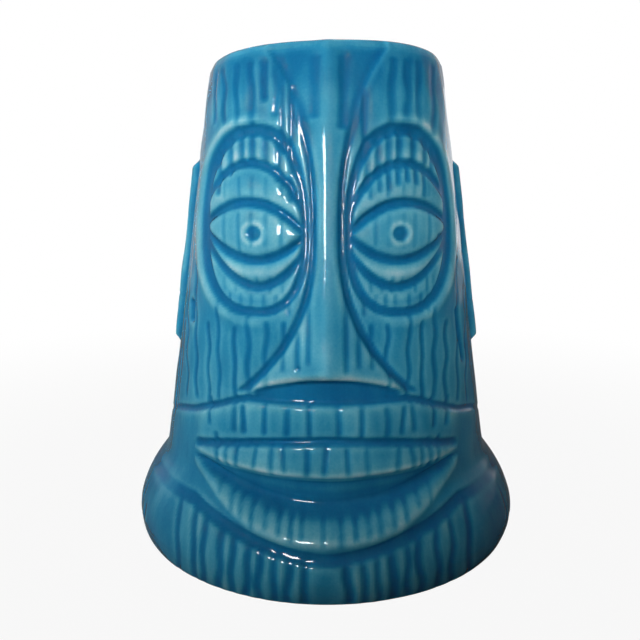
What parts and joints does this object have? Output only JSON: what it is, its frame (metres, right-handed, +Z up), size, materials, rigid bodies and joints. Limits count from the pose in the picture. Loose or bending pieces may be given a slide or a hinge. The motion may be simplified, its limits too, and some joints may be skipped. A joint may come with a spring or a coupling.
{
  "type": "tiki mug",
  "caption": "Tapered ceramic tiki mug with a flared base skirt, side ears and a carved face, hollow and open at the top.",
  "frame": {"origin": "centre of the foot, on the surface that the mug stands on", "axes": "+Z up along the mug's axis; the face looks along -Y; +X is on the viewer's right when facing the face"},
  "size_m": [0.1204, 0.1204, 0.14],
  "materials": {
    "clay": "bare fired earthenware, matt",
    "outer_glaze": "translucent turquoise glaze, gloss",
    "liner_glaze": "turquoise liner glaze, gloss"
  },
  "bodies": {
    "root": {"clay_body": "clay", "left_ear": "clay", "right_ear": "clay", "outer_glaze": "outer_glaze", "liner_glaze": "liner_glaze"}
  },
  "joints": []
}
